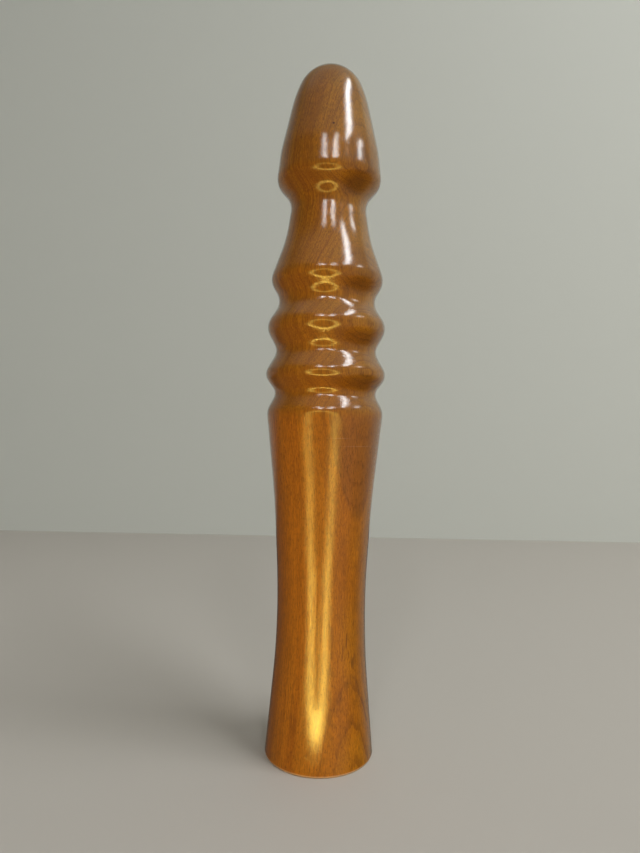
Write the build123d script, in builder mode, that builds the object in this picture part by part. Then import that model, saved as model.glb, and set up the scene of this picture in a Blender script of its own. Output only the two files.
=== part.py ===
"""One-piece turned hardwood baton, standing on its flat foot.

The whole object is a single spindle turning: a rounded acorn end, a neck, a bell that
opens to three beads with coves between them, a shoulder, and a long waisted shaft that
flares to the foot. The frame's origin is the centre of the foot, and +Z is the turning
axis. All lengths are millimetres and all angles are degrees.
"""

import os
from math import cos, radians, sin

from build123d import *

# ---- driving dimensions -------------------------------------------------------------
HEIGHT = 220.0

# The outline as straight cuts from the foot up. Each row is the corner where two cuts
# meet, as its radius and height, and the radius of the curve that eases the corner.
CUTS = [
    (17.3, 0.0, 0.5),  # foot rim, a broken edge
    (13.5, 42.6, 265.0),  # waist of the shaft
    (15.6, 80.1, 350.0),  # where the shaft starts to flare
    (18.7, 109.1, 5.0),  # shoulder
    (15.7, 114.9, 3.0),  # lower cove
    (19.9, 120.5, 3.9),  # lower bead
    (15.5, 128.2, 4.0),  # middle cove
    (19.7, 136.0, 5.3),  # middle bead
    (14.4, 143.9, 5.7),  # upper cove
    (18.4, 150.6, 4.8),  # upper bead
    (13.6, 164.0, 45.0),  # bell
    (11.7, 176.2, 7.3),  # neck
    (16.9, 182.1, 4.5),  # acorn rim
    (15.8, 191.8, 35.0),  # acorn flank
]
OGIVE_CURVE = 40.0  # radius of the curve between the acorn's flank and its crown
OGIVE_CUT = 3.9  # length of the last straight cut before the crown

CROWN_RADIUS = 11.0  # the end is part of a ball, centred on the axis
CROWN_START = 23.5  # how far above the ball's equator that part begins


def crown_start():
    """Where the ball-shaped crown takes over, and the outline's direction there."""
    angle = radians(CROWN_START)
    radius = CROWN_RADIUS * cos(angle)
    height = HEIGHT - CROWN_RADIUS + CROWN_RADIUS * sin(angle)
    return Vector(radius, height), Vector(-sin(angle), cos(angle))


# ---- the turned body ----------------------------------------------------------------
crown_foot, crown_direction = crown_start()
ogive_corner = crown_foot - crown_direction * OGIVE_CUT
corners = [(radius, height) for radius, height, _ in CUTS] + [ogive_corner]
easings = [easing for _, _, easing in CUTS] + [OGIVE_CURVE]

with BuildPart() as turned_body:
    with BuildSketch(Plane.XZ) as half_section:
        with BuildLine() as outline:
            FilletPolyline((0, 0), *corners, crown_foot, radius=easings)
            ball_centre = (0, HEIGHT - CROWN_RADIUS)
            CenterArc(ball_centre, CROWN_RADIUS, CROWN_START, 90 - CROWN_START)
            Line((0, HEIGHT), (0, 0))
        make_face()
    revolve(axis=Axis.Z)

turned_body.part.label = "turned_body"

os.makedirs("parts", exist_ok=True)
export_step(turned_body.part, "parts/turned_body.step")

size = turned_body.part.bounding_box().size
print(f"turned_body {size.X:.2f} x {size.Y:.2f} x {size.Z:.2f} mm")
print(f"volume {turned_body.part.volume / 1000:.1f} cm3")
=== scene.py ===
"""Looks of the one-piece turned hardwood baton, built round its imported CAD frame.

A finer lathe mesh stands for the CAD body. It follows the same outline, and its lacquered
wood is worked out in three dimensions, so the growth layers and pores run unbroken through
the piece and bend over every bead and cove as real grain does. Lengths in the wood are
millimetres; everything else is in the frame's metres.
"""

from math import cos, pi, radians, sin

import bpy
import numpy as np
from mathutils import Matrix, Vector, noise


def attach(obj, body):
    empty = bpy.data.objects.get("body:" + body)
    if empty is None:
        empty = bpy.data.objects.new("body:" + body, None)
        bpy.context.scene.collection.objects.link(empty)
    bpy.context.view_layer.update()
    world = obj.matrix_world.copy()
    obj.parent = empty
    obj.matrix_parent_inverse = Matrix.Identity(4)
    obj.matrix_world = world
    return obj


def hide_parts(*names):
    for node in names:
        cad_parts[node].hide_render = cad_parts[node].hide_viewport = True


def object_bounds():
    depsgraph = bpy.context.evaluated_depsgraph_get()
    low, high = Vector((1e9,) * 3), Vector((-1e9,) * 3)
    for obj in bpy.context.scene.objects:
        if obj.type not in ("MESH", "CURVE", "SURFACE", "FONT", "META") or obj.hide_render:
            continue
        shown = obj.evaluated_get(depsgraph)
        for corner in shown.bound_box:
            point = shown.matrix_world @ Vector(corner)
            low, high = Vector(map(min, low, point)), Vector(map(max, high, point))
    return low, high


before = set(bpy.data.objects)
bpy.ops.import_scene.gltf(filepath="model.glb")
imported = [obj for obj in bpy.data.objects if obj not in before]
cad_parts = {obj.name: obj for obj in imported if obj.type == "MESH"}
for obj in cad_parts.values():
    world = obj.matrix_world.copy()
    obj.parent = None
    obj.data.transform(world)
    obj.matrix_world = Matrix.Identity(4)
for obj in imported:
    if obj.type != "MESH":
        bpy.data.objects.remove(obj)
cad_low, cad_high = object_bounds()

MM = 0.001
NODE = "turned_body"
SLOT = "lacquered_wood"

# ---- camera -------------------------------------------------------------------------
CAMERA_LENS = 25.96  # millimetres
CAMERA_SENSOR = 36  # millimetres, the long side of its sensor
CAMERA_DISTANCE = 0.1990
CAMERA_HEIGHT = 0.1042  # above the foot
CAMERA_OFFSET = -0.00147  # to the right of the turning axis
CAMERA_ROLL = radians(1.09)
CAMERA_NEAR = 0.01  # nothing closer than this is drawn

# ---- surroundings -------------------------------------------------------------------
FLOOR_HALF = 1.6  # how far the floor and the wall reach to each side
WALL_DISTANCE = 0.384  # behind the turning axis
WALL_HEIGHT = 1.6
FLOOR_COLOUR = (0.50, 0.46, 0.41)
FLOOR_ROUGHNESS = 0.6
WALL_COLOUR = (0.73, 0.73, 0.665)
WALL_ROUGHNESS = 0.8
MATT_SHINE = 0.2  # specular level of both

# ---- the room's light: what a ray that misses everything meets ------------------------
ROOM_LEFT = (0.078, 0.070, 0.060, 1)
ROOM_RIGHT = (0.29, 0.32, 0.30, 1)
ROOM_ABOVE = (0.45, 0.45, 0.44, 1)
ROOM_BELOW = (0.010, 0.007, 0.005, 1)
LEFT_TO_RIGHT = (-0.1, 0.9)  # how far right a ray points as the colour changes
RISE_TO_ABOVE = (0.60, 0.90)  # how far up it points, likewise
EDGE_DIRECTION = (-1.0, 0.0, 1.0)  # and how far away from the lower right
BELOW_TO_EDGE = (-1.30, -1.00)

# ---- ceiling panels: distance to the right, distance to the back, width, length, turn in
# degrees and brightness. All distances are in ceiling heights above the table. A name that
# ends in _end is the bright end of a strip, and _haze is the dim halo round one.
CEILING = 1.3  # above the table
PANELS = {
    "left_strip": (-0.25, -1.16, 0.09, 0.66, 0, 20.0),
    "left_strip_end": (-0.25, -1.28, 0.11, 0.40, 0, 50.0),
    "middle_strip": (0.27, -1.12, 0.09, 0.64, 0, 20.0),
    "middle_strip_end": (0.25, -1.24, 0.11, 0.38, 0, 45.0),
    "right_strip": (1.19, -0.29, 0.15, 0.34, 20, 17.0),
    "right_strip_haze": (1.19, -0.29, 0.50, 0.60, 20, 0.6),
    "main_panel": (0.61, -0.41, 0.15, 0.92, 12, 22.0),
}
PANEL_COLOUR = (0.94, 0.98, 1.0)

# ---- warm ring lamp round the camera --------------------------------------------------
RING_CENTRE = (-0.027, -0.199, 0.060)
RING_RADIUS = 0.100
RING_WIDTH = 0.016
RING_LAMPS = 36
RING_SPREAD = radians(110)  # the width of each lamp's beam
RING_TOP = 2.0  # brightness of the highest lamp
RING_BOTTOM = 10.8  # and of the lowest
RING_AIM = (0.03, 0.11)  # heights that the lowest and the highest lamp face
RING_COLOUR = (1.0, 0.71, 0.13)
GLOW_PLACE = (-0.01, -0.21, 0.035)  # of the lamp that stands for the ring's soft light
GLOW_SIZE = 0.20
GLOW_BRIGHTNESS = 3.5
GLOW_COLOUR = (1.0, 0.50, 0.06)
GLOW_SPREAD = radians(160)

# ---- mesh of the turning --------------------------------------------------------------
SEGMENTS = 192
ROWS = 490  # above the foot's edge
PLACES = 6000  # where the outline is worked out before the rows are chosen
FOOT_EDGE = 0.0006  # below this height the rows are the CAD's own
FOOT_RINGS = (0.5, 0.97)  # extra rings across the flat foot, as shares of its radius
SOFTENING = 0.0005  # how far sanding has blurred each change of curve
BEND_DENSITY = 0.010  # extra rows where the outline bends, as metres per radian
RIPPLE = 0.010 * MM  # how far hand turning strays from a true circle
RIPPLE_PACE = 1.3  # how quickly that changes round the body
RIPPLE_LENGTH = 0.012  # the height that counts for as much as one radius in it


def cad_rows(node):
    """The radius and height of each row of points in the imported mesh, foot first."""
    points = np.array([vertex.co[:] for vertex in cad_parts[node].data.vertices])
    heights = np.round(points[:, 2], 7)
    radii = np.hypot(points[:, 0], points[:, 1])
    levels = np.unique(heights)
    return np.array([radii[heights == level].max() for level in levels]), levels


def run_length(radii, heights):
    """Distance along the outline at each of its points."""
    return np.concatenate([[0.0], np.cumsum(np.hypot(np.diff(radii), np.diff(heights)))])


def spline(knots, values, places):
    """The natural cubic spline through values at knots, read at places."""
    gaps = np.diff(knots)
    slopes = np.diff(values) / gaps
    system = np.eye(len(knots))
    turns = np.zeros(len(knots))
    for i in range(1, len(knots) - 1):
        system[i, i - 1 : i + 2] = gaps[i - 1], 2 * (gaps[i - 1] + gaps[i]), gaps[i]
        turns[i] = 6 * (slopes[i] - slopes[i - 1])
    bends = np.linalg.solve(system, turns)
    i = np.clip(np.searchsorted(knots, places) - 1, 0, len(gaps) - 1)
    done = places - knots[i]
    first = slopes[i] - gaps[i] * (2 * bends[i] + bends[i + 1]) / 6
    third = (bends[i + 1] - bends[i]) / (6 * gaps[i])
    return values[i] + first * done + bends[i] / 2 * done**2 + third * done**3


def softened(values, step):
    """The values blurred along the outline, with both ends kept."""
    reach = int(3 * SOFTENING / step)
    weights = np.exp(-0.5 * (np.arange(-reach, reach + 1) * step / SOFTENING) ** 2)
    ends = np.arange(1, reach + 1)
    before = 2 * values[0] - values[ends][::-1]
    after = 2 * values[-1] - values[-1 - ends]
    return np.convolve(np.concatenate([before, values, after]), weights / weights.sum(), "valid")


def fine_outline(node):
    """The outline of the node from foot to crown, in many rows with the most at bends."""
    radii, heights = cad_rows(node)
    edge = heights < FOOT_EDGE
    edge_rows = list(zip(radii[edge], heights[edge]))
    radii, heights = radii[~edge], heights[~edge]
    along = run_length(radii, heights)
    places = np.linspace(0, along[-1], PLACES)
    smooth = [softened(spline(along, values, places), places[1]) for values in (radii, heights)]
    direction = np.unwrap(np.arctan2(np.gradient(smooth[0]), np.gradient(smooth[1])))
    bend = np.abs(np.gradient(direction))
    weight = np.cumsum(places[1] + BEND_DENSITY * bend)
    chosen = np.interp(np.linspace(weight[0], weight[-1], ROWS), weight, places)
    rows = [np.interp(chosen, places, values) for values in smooth]
    return edge_rows + list(zip(*rows))[:-1], cad_high.z


def ripple(angle, height):
    """How far the surface strays from its outline at one place."""
    place = Vector((cos(angle), sin(angle), height / RIPPLE_LENGTH))
    return RIPPLE * noise.noise(place * RIPPLE_PACE)


def ring_points(rings):
    """The points of each ring, one ring after the other."""
    angles = [2 * pi * k / SEGMENTS for k in range(SEGMENTS)]
    points = []
    for radius, height in rings:
        for angle in angles:
            out = radius + (ripple(angle, height) if height > FOOT_EDGE else 0.0)
            points.append((out * cos(angle), out * sin(angle), height))
    return points


def lathe_mesh(name, rows, top):
    """A closed body of revolution through the rows, from the flat foot to the top."""
    rings = [(rows[0][0] * share, 0.0) for share in FOOT_RINGS] + rows
    points = [(0.0, 0.0, 0.0)] + ring_points(rings) + [(0.0, 0.0, top)]
    faces = []
    last = len(points) - 1
    for k in range(SEGMENTS):
        after = (k + 1) % SEGMENTS
        faces.append((0, 1 + after, 1 + k))
        for j in range(len(rings) - 1):
            low, high = 1 + j * SEGMENTS, 1 + (j + 1) * SEGMENTS
            faces.append((low + k, low + after, high + after, high + k))
        faces.append((last, last - SEGMENTS + k, last - SEGMENTS + after))
    mesh = bpy.data.meshes.new(name)
    mesh.from_pydata(points, [], faces)
    mesh.shade_smooth()
    mesh.update()
    return mesh


# ---- wood: lengths in millimetres --------------------------------------------------------
GRAIN_DIRECTION = radians(40)  # the growth layers face this far right of the front
PITH_DISTANCE = 95.0  # how far behind the axis the tree's centre was
DRIFT_REACH = 0.9  # how far the layers drift
WAVER_REACH = 0.6  # and how far they waver within that
LAYER = 1.1  # mean thickness of a growth layer
WANDER_LAYERS = 6.5  # how many layers the count strays by from place to place
LATE_FROM = 0.60  # late wood starts this far through a layer
LATE_FULL = 0.93  # and is darkest here
LATE_SHARE = 0.58
LATE_FADES = (0.36, 0.62, 0.30, 1.0)  # it fades to 0.30 where the patches are low
BROWN_FROM = 15.3  # layers further out than this are browner
BROWN_EDGE = 0.15  # half the width of that change
BROWN_SPAN = (66.0, 106.0)  # and most of all between these heights
BROWN_FADES = (8.0, 3.0)  # the height that it takes to come and to go
BROWN_SHARE = 0.7
BROWN_ABOVE = 0.3  # the part of that share that goes on above the span
STREAKS = ((14.9, 0.28, 0.6), (12.15, 0.14, 0.5))  # dark layers: place, reach, strength
STREAKS_BELOW = 30.0
STREAKS_FADE = 6.0
STREAKS_BROKEN = (0.42, 0.60)  # the span of the breaks' noise over which they come back
SMUDGE = ((8.3, -11.6, 38.0), (5.0, 5.0, 17.0))  # a pale, flecked patch: place, reach
SMUDGE_SHARE = 0.7  # of pale wood
FLECKED = (0.54, 0.64, 0.0, 0.8)  # the span of the flecks' noise, and their share over it
PAINTED_SHADE = (  # painted shade under the right of the rim and of each bead: place, reach, share
    ((8.2, -11.5, 178.0), (7.0, 6.0, 4.6), 0.70),
    ((8.8, -13.5, 146.4), (7.0, 6.0, 3.6), 0.50),
    ((10.0, -14.0, 130.8), (6.5, 6.0, 3.4), 0.45),
    ((10.5, -14.5, 118.0), (6.5, 6.0, 3.0), 0.45),
)
SOFT_CORE = 0.3  # the part of a soft blob's reach that is even
PIN_KNOT = ((0.9, -15.0, 195.1), 0.55)  # place and radius
FIBRE_SHADES = (0.74, 1.22)  # how much darker and lighter single fibres are
PATCH_SHADES = (0.92, 1.07)  # and broad patches
PORED = (0.55, 0.68, 0.0, 0.45)  # the span of the pores' noise, and their share over it

# ---- soft noise in the wood: the size of its lumps, its detail and its roughness ----------
BANDS = ((3.0, 60.0, 160.0), 2.0)  # through the layers, along a layer and up the grain
WANDER = ((4.0, 40.0, 120.0), 3.0)  # likewise; all those below are across, across and up
DRIFT = ((26.0, 26.0, 60.0), 1.0)
WAVER = ((3.0, 3.0, 14.0), 2.0)
PATCHES = ((9.0, 9.0, 26.0), 2.0)
BREAKS = ((1.4, 1.4, 5.5), 3.0)
FLECKS = ((0.8, 0.8, 6.0), 3.0)
FIBRES = ((0.28, 0.28, 3.6), 3.0, 0.65)
PORES = ((0.20, 0.20, 1.0), 1.0)
GRIT = ((0.33, 0.33, 0.90), 1.0)
NOISE_SPAN = (0.3, 0.7)  # most of its values are in here

PALE = (0.32, 0.137, 0.0055, 1)
MIDDLE = (0.255, 0.097, 0.0035, 1)
LATE = (0.135, 0.047, 0.0038, 1)
BROWN = (0.180, 0.073, 0.0085, 1)
# UMBER is the dark brown of the streaks and flecks, and of the painted shade under the rim and
# beads
UMBER = (0.105, 0.040, 0.0070, 1)
PORE = (0.065, 0.019, 0.003, 1)
RAW = (0.50, 0.38, 0.24, 1)

# ---- lacquer: lengths in millimetres ------------------------------------------------------
FIBRE_RELIEF = 0.038  # how far the fibres stand out through the lacquer
PORE_DEPTH = 0.3  # how deep the pores are, as a share of the fibres
GRIT_RELIEF = 0.36  # how far short specks in the film stand out, likewise
THIN_BELOW = 108.0  # below this height the lacquer is thin, and above it the colour is darkened as painted shade
THIN_EDGE = 2.0  # half the height that it takes to thicken
THICK_FILM = 0.46  # the share of the relief that still shows above it
PAINTED_TOP_SHADE = (0.84, 0.92, 0.85, 1)  # painted shade: how much the colour is darkened above the shoulder
WORN = (0.35, 0.85, 0.80, 0.0)  # heights at the foot over which bare wood goes from 0.80 to 0
SCRATCHES = ((100.8, -11.0, -4.0), (98.4, -8.0, 5.3))  # height, and reach along the layer
SCRATCH_WIDTH = 0.22  # from its middle to where it has gone
SCRATCH_REACH = 1.3  # how far along it fades out, as a share of half its length
SCRATCH_COLOUR = 0.10  # the share of bare wood's colour in it
SCRATCH_RELIEF = 0.9
ROUGHNESS = (0.46, 0.56)  # of the wood under the lacquer
WOOD_SHINE = 0.1  # its specular level
COAT_ROUGHNESS = 0.09
COAT_IOR = 1.5


class Graph:
    """Adds nodes to the tree of a material or a world and joins them up."""

    def __init__(self, owner):
        owner.use_nodes = True
        self.owner = owner
        self.tree = owner.node_tree
        self.tree.nodes.clear()

    def node(self, kind, inputs=None, **settings):
        made = self.tree.nodes.new(kind)
        for key, value in settings.items():
            setattr(made, key, value)
        for key, value in (inputs or {}).items():
            self.feed(made.inputs[key], value)
        return made

    def feed(self, socket, value):
        if isinstance(value, bpy.types.NodeSocket):
            self.tree.links.new(value, socket)
        else:
            socket.default_value = value

    def math(self, operation, a, b=0.0, c=0.0):
        made = self.node("ShaderNodeMath", {0: a, 1: b, 2: c}, operation=operation)
        return made.outputs[0]

    def along(self, vector, direction):
        """How far the vector reaches in a direction."""
        made = self.node("ShaderNodeVectorMath", {0: vector, 1: direction}, operation="DOT_PRODUCT")
        return made.outputs["Value"]

    def point(self, x, y, z):
        return self.node("ShaderNodeCombineXYZ", {"X": x, "Y": y, "Z": z}).outputs[0]

    def scaled(self, vector, sizes):
        """The vector in units of its own for each direction."""
        factors = tuple(1 / size for size in sizes)
        made = self.node("ShaderNodeVectorMath", {0: vector, 1: factors}, operation="MULTIPLY")
        return made.outputs[0]

    def cloud(self, vector, sizes, detail=2.0, roughness=0.5):
        """Soft noise from 0 to 1 whose lumps have the given sizes."""
        inputs = {"Vector": self.scaled(vector, sizes), "Scale": 1.0}
        inputs.update({"Detail": detail, "Roughness": roughness})
        return self.node("ShaderNodeTexNoise", inputs, noise_dimensions="3D").outputs[0]

    def step(self, value, low, high, start=0.0, end=1.0):
        """A smooth change from start to end as the value goes from low to high."""
        inputs = {"Value": value, "From Min": low, "From Max": high}
        inputs.update({"To Min": start, "To Max": end})
        made = self.node("ShaderNodeMapRange", inputs, interpolation_type="SMOOTHSTEP")
        return made.outputs[0]

    def ridge(self, value, place, width, strength):
        """A soft peak of the given strength where the value is near a place."""
        away = self.math("ABSOLUTE", self.math("SUBTRACT", value, place))
        return self.step(away, 0.0, width, strength, 0.0)

    def near(self, place, centre, reach):
        """A soft blob, 1 at its centre and 0 at its reach in each direction."""
        away = self.node("ShaderNodeVectorMath", {0: place, 1: centre}, operation="SUBTRACT")
        shrunk = self.scaled(away.outputs[0], reach)
        far = self.node("ShaderNodeVectorMath", {0: shrunk}, operation="LENGTH").outputs["Value"]
        return self.step(far, SOFT_CORE, 1.0, 1.0, 0.0)

    def blend(self, share, a, b, mode="MIX"):
        """Two colours mixed by a share from 0 to 1."""
        made = self.node("ShaderNodeMix", data_type="RGBA", blend_type=mode)
        for key, value in ((0, share), (6, a), (7, b)):
            self.feed(made.inputs[key], value)
        return made.outputs[2]

    def shaded(self, colour, shade):
        """The colour made lighter or darker by a factor."""
        return self.blend(1.0, colour, self.point(shade, shade, shade), "MULTIPLY")

    def bump(self, relief, depth):
        """A normal for a relief from 0 to 1 that is this many millimetres deep."""
        inputs = {"Strength": 1.0, "Distance": depth * MM, "Height": relief}
        return self.node("ShaderNodeBump", inputs).outputs[0]


def wood_space(graph, place):
    """The point as (through the layers, along a layer, up the grain)."""
    turn = GRAIN_DIRECTION
    through = graph.along(place, (sin(turn), -cos(turn), 0.0))
    layer = graph.along(place, (cos(turn), sin(turn), 0.0))
    height = graph.along(place, (0.0, 0.0, 1.0))
    bow = graph.math("MULTIPLY", graph.math("MULTIPLY", layer, layer), 0.5 / PITH_DISTANCE)
    drift, waver = graph.cloud(place, *DRIFT), graph.cloud(place, *WAVER)
    bent = graph.math("MULTIPLY_ADD", drift, DRIFT_REACH, graph.math("ADD", through, bow))
    bent = graph.math("MULTIPLY_ADD", waver, WAVER_REACH, bent)
    bent = graph.math("SUBTRACT", bent, (DRIFT_REACH + WAVER_REACH) / 2)
    return graph.point(bent, layer, height), bent, height


def ground_colour(graph, wood, depth, height):
    """Pale and deeper bands, with browner layers on the outside above the waist."""
    bands = graph.step(graph.cloud(wood, *BANDS), *NOISE_SPAN)
    bottom, top = BROWN_SPAN
    coming, going = BROWN_FADES
    zone = graph.step(height, bottom, bottom + coming, 0.0, BROWN_SHARE)
    zone = graph.math("MULTIPLY", zone, graph.step(height, top, top + going, 1.0, BROWN_ABOVE))
    outer = graph.step(depth, BROWN_FROM - BROWN_EDGE, BROWN_FROM + BROWN_EDGE)
    outer = graph.math("MULTIPLY", outer, zone)
    return graph.blend(outer, graph.blend(bands, MIDDLE, PALE), BROWN)


def late_wood(graph, wood, depth, patches):
    """The share of dark late wood: a thin line at the end of each growth layer."""
    wander = graph.math("MULTIPLY", graph.cloud(wood, *WANDER), WANDER_LAYERS)
    growth = graph.math("FRACT", graph.math("MULTIPLY_ADD", depth, 1 / LAYER, wander))
    late = graph.step(growth, LATE_FROM, LATE_FULL, 0.0, LATE_SHARE)
    late = graph.math("MULTIPLY", late, graph.step(growth, LATE_FULL, 1.0, 1.0, 0.0))
    return graph.math("MULTIPLY", late, graph.step(patches, *LATE_FADES))


def streaked(graph, colour, place, depth, height):
    """The colour with thin, broken dark streaks low on the shaft."""
    broken = graph.step(graph.cloud(place, *BREAKS), *STREAKS_BROKEN)
    low = graph.step(height, STREAKS_BELOW, STREAKS_BELOW + STREAKS_FADE, 1.0, 0.0)
    low = graph.math("MULTIPLY", broken, low)
    for streak in STREAKS:
        share = graph.math("MULTIPLY", graph.ridge(depth, *streak), low)
        colour = graph.blend(share, colour, UMBER)
    return colour


def flecked_and_shaded(graph, colour, place):
    """The colour with the flecked patch near the foot, and painted shade under the right of the rim
    and of each bead.
    """
    smudge = graph.near(place, *SMUDGE)
    colour = graph.blend(graph.math("MULTIPLY", smudge, SMUDGE_SHARE), colour, PALE)
    flecks = graph.step(graph.cloud(place, *FLECKS), *FLECKED)
    colour = graph.blend(graph.math("MULTIPLY", smudge, flecks), colour, UMBER)
    # painted shade: dark blobs under the right of the rim and of each bead
    for centre, reach, share in PAINTED_SHADE:
        patch = graph.math("MULTIPLY", graph.near(place, centre, reach), share)
        colour = graph.blend(patch, colour, UMBER)
    return colour


def wood_colour(graph, place, space, fibre, pores):
    """Layers, late wood, streaks, patches, painted shade, fibres, pores and the knot, one over the
    other.
    """
    wood, depth, height = space
    patches = graph.cloud(place, *PATCHES)
    colour = ground_colour(graph, wood, depth, height)
    colour = graph.blend(late_wood(graph, wood, depth, patches), colour, LATE)
    colour = streaked(graph, colour, place, depth, height)
    colour = flecked_and_shaded(graph, colour, place)
    colour = graph.shaded(colour, graph.step(fibre, *NOISE_SPAN, *FIBRE_SHADES))
    colour = graph.shaded(colour, graph.step(patches, *NOISE_SPAN, *PATCH_SHADES))
    colour = graph.blend(pores, colour, PORE)
    knot_place, knot_radius = PIN_KNOT
    return graph.blend(graph.near(place, knot_place, (knot_radius,) * 3), colour, PORE)


def scratch_marks(graph, wood, height):
    """Faint sanding lines that run a little way round the shaft."""
    marks = 0.0
    layer = graph.along(wood, (0.0, 1.0, 0.0))
    for level, start, end in SCRATCHES:
        middle, half = (start + end) / 2, (end - start) / 2
        line = graph.ridge(height, level, SCRATCH_WIDTH, 1.0)
        reach = graph.ridge(layer, middle, half * SCRATCH_REACH, 1.0)
        marks = graph.math("MULTIPLY_ADD", line, reach, marks)
    return marks


def worn_and_shaded_colour(graph, colour, marks, height):
    """The colour with bare wood at scratches and the foot's edge, and painted shade above the
    shoulder.
    """
    colour = graph.blend(graph.math("MULTIPLY", marks, SCRATCH_COLOUR), colour, RAW)
    colour = graph.blend(graph.step(height, *WORN), colour, RAW)
    # painted shade: the colour is darkened above the shoulder
    shaded_top = graph.step(height, THIN_BELOW - THIN_EDGE, THIN_BELOW + THIN_EDGE)
    return graph.blend(shaded_top, colour, graph.blend(1.0, colour, PAINTED_TOP_SHADE, "MULTIPLY"))


def film_relief(graph, place, relief, marks):
    """The relief of the lacquer's own surface: fibres and pores, grit and scratches."""
    film = graph.math("MULTIPLY_ADD", graph.cloud(place, *GRIT), GRIT_RELIEF, relief)
    return graph.math("MULTIPLY_ADD", marks, SCRATCH_RELIEF, film)


def lacquered_wood():
    """Amber lacquer over hardwood whose fibres and pores still show as fine upright relief."""
    graph = Graph(bpy.data.materials.new(SLOT))
    place = graph.scaled(graph.node("ShaderNodeTexCoord").outputs["Object"], (MM, MM, MM))
    space = wood_space(graph, place)
    wood, _, height = space
    fibre = graph.cloud(place, *FIBRES)
    pores = graph.step(graph.cloud(place, *PORES), *PORED)
    marks = scratch_marks(graph, wood, height)
    colour = wood_colour(graph, place, space, fibre, pores)
    thin_to_thick = (THIN_BELOW - THIN_EDGE, THIN_BELOW + THIN_EDGE, 1.0, THICK_FILM)
    relief = graph.math("MULTIPLY_ADD", pores, -PORE_DEPTH, fibre)
    relief = graph.math("MULTIPLY", relief, graph.step(height, *thin_to_thick))
    film = film_relief(graph, place, relief, marks)
    finish = {
        "Base Color": worn_and_shaded_colour(graph, colour, marks, height),
        "Roughness": graph.step(fibre, *NOISE_SPAN, *ROUGHNESS),
        "Specular IOR Level": WOOD_SHINE,
        "Normal": graph.bump(relief, FIBRE_RELIEF),
        "Coat Weight": 1.0,
        "Coat Roughness": COAT_ROUGHNESS,
        "Coat IOR": COAT_IOR,
        "Coat Normal": graph.bump(film, FIBRE_RELIEF),
    }
    shader = graph.node("ShaderNodeBsdfPrincipled", finish)
    graph.node("ShaderNodeOutputMaterial", {"Surface": shader.outputs[0]})
    return graph.owner


def plain_finish(name, colour, roughness):
    """A matt, even finish for what surrounds the object."""
    graph = Graph(bpy.data.materials.new(name))
    finish = {"Base Color": (*colour, 1), "Roughness": roughness}
    finish["Specular IOR Level"] = MATT_SHINE
    shader = graph.node("ShaderNodeBsdfPrincipled", finish)
    graph.node("ShaderNodeOutputMaterial", {"Surface": shader.outputs[0]})
    return graph.owner


# ---- making the pieces --------------------------------------------------------------------
def show(name, data):
    """Puts an object with this data into the scene."""
    made = bpy.data.objects.new(name, data)
    bpy.context.scene.collection.objects.link(made)
    return made


def make_body():
    """The turned piece, which stands for the CAD node."""
    rows, top = fine_outline(NODE)
    body = show("turned_wood", lathe_mesh("turned_wood", rows, top))
    body.data.materials.append(lacquered_wood())
    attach(body, "root")
    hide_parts(NODE)
    return body


def sheet(name, corners, finish):
    """A flat four-cornered surface that isn't part of the object."""
    mesh = bpy.data.meshes.new(name)
    mesh.from_pydata(corners, [], [(0, 1, 2, 3)])
    mesh.update()
    made = show(name, mesh)
    mesh.materials.append(finish)
    return made


def make_surroundings():
    """A plain floor at the foot's level and a plain wall behind it."""
    reach, back, top = FLOOR_HALF, WALL_DISTANCE, WALL_HEIGHT
    flat = [(-reach, -reach, 0), (reach, -reach, 0), (reach, back, 0), (-reach, back, 0)]
    upright = [(-reach, back, 0), (reach, back, 0), (reach, back, top), (-reach, back, top)]
    floor = sheet("floor", flat, plain_finish("pale_floor", FLOOR_COLOUR, FLOOR_ROUGHNESS))
    sheet("backdrop", upright, plain_finish("pale_wall", WALL_COLOUR, WALL_ROUGHNESS))
    # the ring lamp hangs past the table's front edge, so the floor lets its light by
    floor.visible_glossy = False
    floor.visible_shadow = False


def area_light(name, place, turned, width, length, brightness, colour, shape="RECTANGLE"):
    """A lamp of even brightness, placed and turned, that isn't seen itself."""
    light = bpy.data.lights.new(name, "AREA")
    light.shape = shape
    light.size = width
    light.size_y = length
    area = width * length * (pi / 4 if shape == "ELLIPSE" else 1)
    light.energy = brightness * pi * area  # in watts
    light.color = colour
    lamp = show(name, light)
    lamp.location = place
    lamp.rotation_euler = turned.to_euler()
    lamp.visible_camera = False
    return lamp


def make_panels():
    """The ceiling lamps: their places, sizes and brightness come from the table above."""
    for name, (right, back, width, length, turn, brightness) in PANELS.items():
        place = (right * CEILING, back * CEILING, CEILING)
        size = (width * CEILING, length * CEILING)
        turned = Matrix.Rotation(radians(turn), 3, "Z")
        lamp = area_light(name, place, turned, *size, brightness, PANEL_COLOUR, "ELLIPSE")
        # the bright ends are there for their reflections and light nothing up
        lamp.visible_diffuse = not name.endswith("_end")


def ring_lamp(k):
    """One of the lamps of the ring, turned to the object, and brighter the lower it is."""
    angle = 2 * pi * k / RING_LAMPS
    out = Vector((cos(angle), 0.0, sin(angle)))
    place = Vector(RING_CENTRE) + RING_RADIUS * out
    rise = (1 + sin(angle)) / 2
    aim = RING_AIM[0] + (RING_AIM[1] - RING_AIM[0]) * rise
    away = (place - Vector((0.0, 0.0, aim))).normalized()
    across = out - out.dot(away) * away
    across.normalize()
    turned = Matrix((across, away.cross(across), away)).transposed()
    size = (RING_WIDTH, 2 * pi * RING_RADIUS / RING_LAMPS)
    brightness = RING_BOTTOM + (RING_TOP - RING_BOTTOM) * rise
    lamp = area_light(f"ring_lamp_{k}", place, turned, *size, brightness, RING_COLOUR)
    lamp.data.spread = RING_SPREAD
    lamp.visible_diffuse = False
    return lamp


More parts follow.
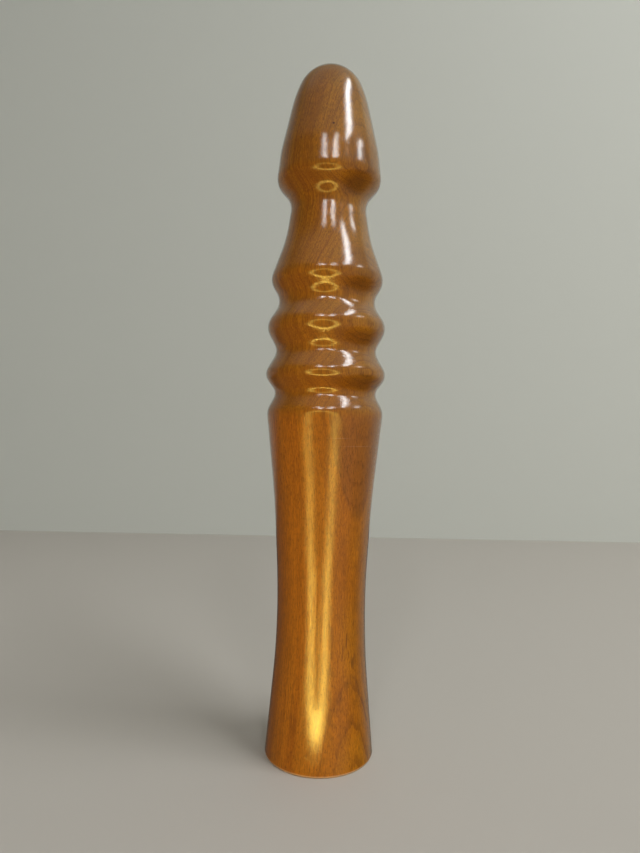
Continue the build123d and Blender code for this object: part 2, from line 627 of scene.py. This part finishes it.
def glow_lamp():
    """The ring's soft light, from a square lamp without a reflection of its own."""
    facing = Matrix.Rotation(radians(90), 3, "X")
    size = (GLOW_SIZE, GLOW_SIZE)
    lamp = area_light("ring_glow", GLOW_PLACE, facing, *size, GLOW_BRIGHTNESS, GLOW_COLOUR)
    lamp.data.spread = GLOW_SPREAD
    lamp.visible_glossy = False
    return lamp


def make_ring(body):
    """A ring of small lamps round the camera, which lights nothing but the body."""
    lit = bpy.data.collections.new("lit_by_ring")
    lit.objects.link(body)
    lamps = [ring_lamp(k) for k in range(RING_LAMPS)]
    for lamp in [*lamps, glow_lamp()]:
        lamp.light_linking.receiver_collection = lit


def make_world():
    """Soft room light: dark to the left and low on the right, brighter elsewhere."""
    world = bpy.data.worlds.new("room")
    graph = Graph(world)
    direction = graph.node("ShaderNodeTexCoord").outputs["Generated"]
    right = graph.step(graph.along(direction, (1.0, 0.0, 0.0)), *LEFT_TO_RIGHT)
    above = graph.step(graph.along(direction, (0.0, 0.0, 1.0)), *RISE_TO_ABOVE)
    colour = graph.blend(above, graph.blend(right, ROOM_LEFT, ROOM_RIGHT), ROOM_ABOVE)
    edge = graph.step(graph.along(direction, EDGE_DIRECTION), *BELOW_TO_EDGE)
    colour = graph.blend(edge, ROOM_BELOW, colour)
    background = graph.node("ShaderNodeBackground", {"Color": colour})
    graph.node("ShaderNodeOutputWorld", {"Surface": background.outputs[0]})
    bpy.context.scene.world = world


def make_camera():
    """Level, just lower than the shaft's shoulder, close by and rolled a little."""
    camera = show("camera", bpy.data.cameras.new("camera"))
    camera.data.sensor_width = CAMERA_SENSOR
    camera.data.lens = CAMERA_LENS
    camera.location = (CAMERA_OFFSET, -CAMERA_DISTANCE, CAMERA_HEIGHT)
    level = Matrix.Rotation(radians(90), 4, "X")
    camera.rotation_euler = (level @ Matrix.Rotation(CAMERA_ROLL, 4, "Z")).to_euler()
    camera.data.clip_start = CAMERA_NEAR
    bpy.context.scene.camera = camera


make_camera()
turned_wood = make_body()
make_surroundings()
make_panels()
make_ring(turned_wood)
make_world()
# plain sRGB keeps the warm lamp's deep golden highlights, which filmic transforms bleach
bpy.context.scene.view_settings.view_transform = "Standard"
